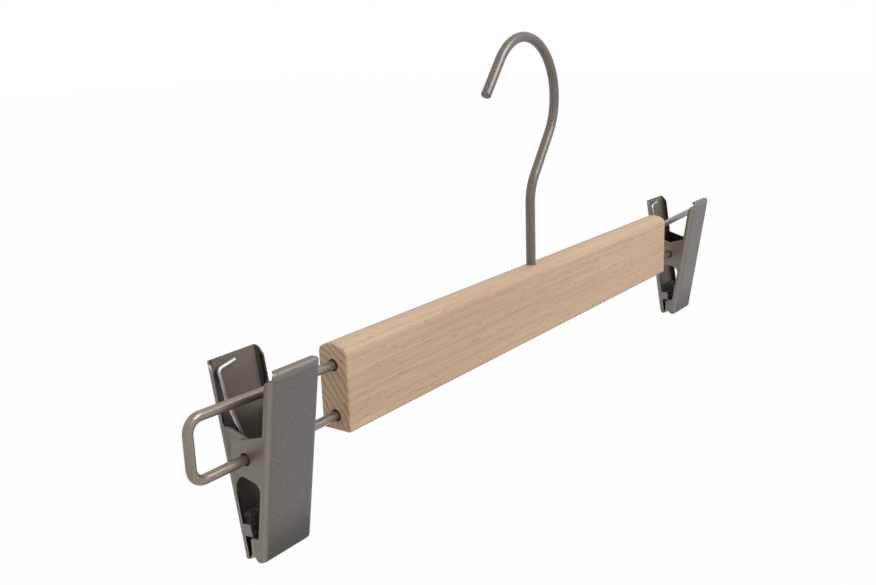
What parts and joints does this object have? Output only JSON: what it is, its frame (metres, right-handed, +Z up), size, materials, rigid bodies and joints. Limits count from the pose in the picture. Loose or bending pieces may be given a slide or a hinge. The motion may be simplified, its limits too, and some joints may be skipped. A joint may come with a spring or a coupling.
{
  "type": "skirt hanger",
  "caption": "Wooden bar hanger with a swivelling wire hook and, at each end, a wire rail that carries a sliding sprung metal clip for skirts or trousers.",
  "frame": {"origin": "the spot on the inside of the hook, straight above the middle of the bar, that hangs on a wardrobe rail", "axes": "+X along the bar, +Y from the bar's front face to its back face, +Z up"},
  "size_m": [0.3792, 0.0275, 0.1537],
  "materials": {
    "beech": "plain beech, sanded, with a thin matt lacquer",
    "hook_wire": "steel wire with an aged grey-brown finish, satin",
    "rail_wire": "steel wire with an aged grey-brown finish, satin",
    "washer": "plain zinc-plated steel",
    "clip_sheet": "pressed steel with an aged grey-brown finish, rubbed lighter on its edges",
    "spring_wire": "bright zinc-plated spring wire",
    "clip_pad": "dark grey rubber with small studs"
  },
  "bodies": {
    "hook": {"hook": "hook_wire"},
    "bar": {"bar": "beech", "hook_washer": "washer", "left_rail": "rail_wire", "right_rail": "rail_wire"},
    "left_spring": {"left_spring": "spring_wire"},
    "left_front_jaw": {"left_front_jaw": "clip_sheet", "left_front_pad": "clip_pad"},
    "left_rear_jaw": {"left_rear_jaw": "clip_sheet", "left_rear_pad": "clip_pad"},
    "right_spring": {"right_spring": "spring_wire"},
    "right_front_jaw": {"right_front_jaw": "clip_sheet", "right_front_pad": "clip_pad"},
    "right_rear_jaw": {"right_rear_jaw": "clip_sheet", "right_rear_pad": "clip_pad"}
  },
  "joints": [
    {"name": "hook_swivel", "type": "hinge", "parent": "hook", "child": "bar", "pos_m": [0, 0, -0.09078], "axis": [0, 0, 1], "continuous": true},
    {"name": "left_clip_slide", "type": "slide", "parent": "bar", "child": "left_spring", "axis": [1, 0, 0], "range_m": [-0.014, 0.019]},
    {"name": "left_front_jaw_hinge", "type": "hinge", "parent": "left_spring", "child": "left_front_jaw", "pos_m": [-0.15735, 0, -0.11558], "axis": [-1, 0, 0], "range_deg": [0, 20], "stiffness_Nm_per_rad": 0.12, "springref_deg": -28.65, "deforming": ["left_spring"]},
    {"name": "left_rear_jaw_hinge", "type": "hinge", "parent": "left_spring", "child": "left_rear_jaw", "pos_m": [-0.15735, 0, -0.11558], "axis": [1, 0, 0], "range_deg": [0, 20], "stiffness_Nm_per_rad": 0.12, "springref_deg": -28.65, "deforming": ["left_spring"]},
    {"name": "right_clip_slide", "type": "slide", "parent": "bar", "child": "right_spring", "axis": [1, 0, 0], "range_m": [-0.019, 0.014]},
    {"name": "right_front_jaw_hinge", "type": "hinge", "parent": "right_spring", "child": "right_front_jaw", "pos_m": [0.15735, 0, -0.11558], "axis": [-1, 0, 0], "range_deg": [0, 20], "stiffness_Nm_per_rad": 0.12, "springref_deg": -28.65, "deforming": ["right_spring"]},
    {"name": "right_rear_jaw_hinge", "type": "hinge", "parent": "right_spring", "child": "right_rear_jaw", "pos_m": [0.15735, 0, -0.11558], "axis": [1, 0, 0], "range_deg": [0, 20], "stiffness_Nm_per_rad": 0.12, "springref_deg": -28.65, "deforming": ["right_spring"]}
  ]
}
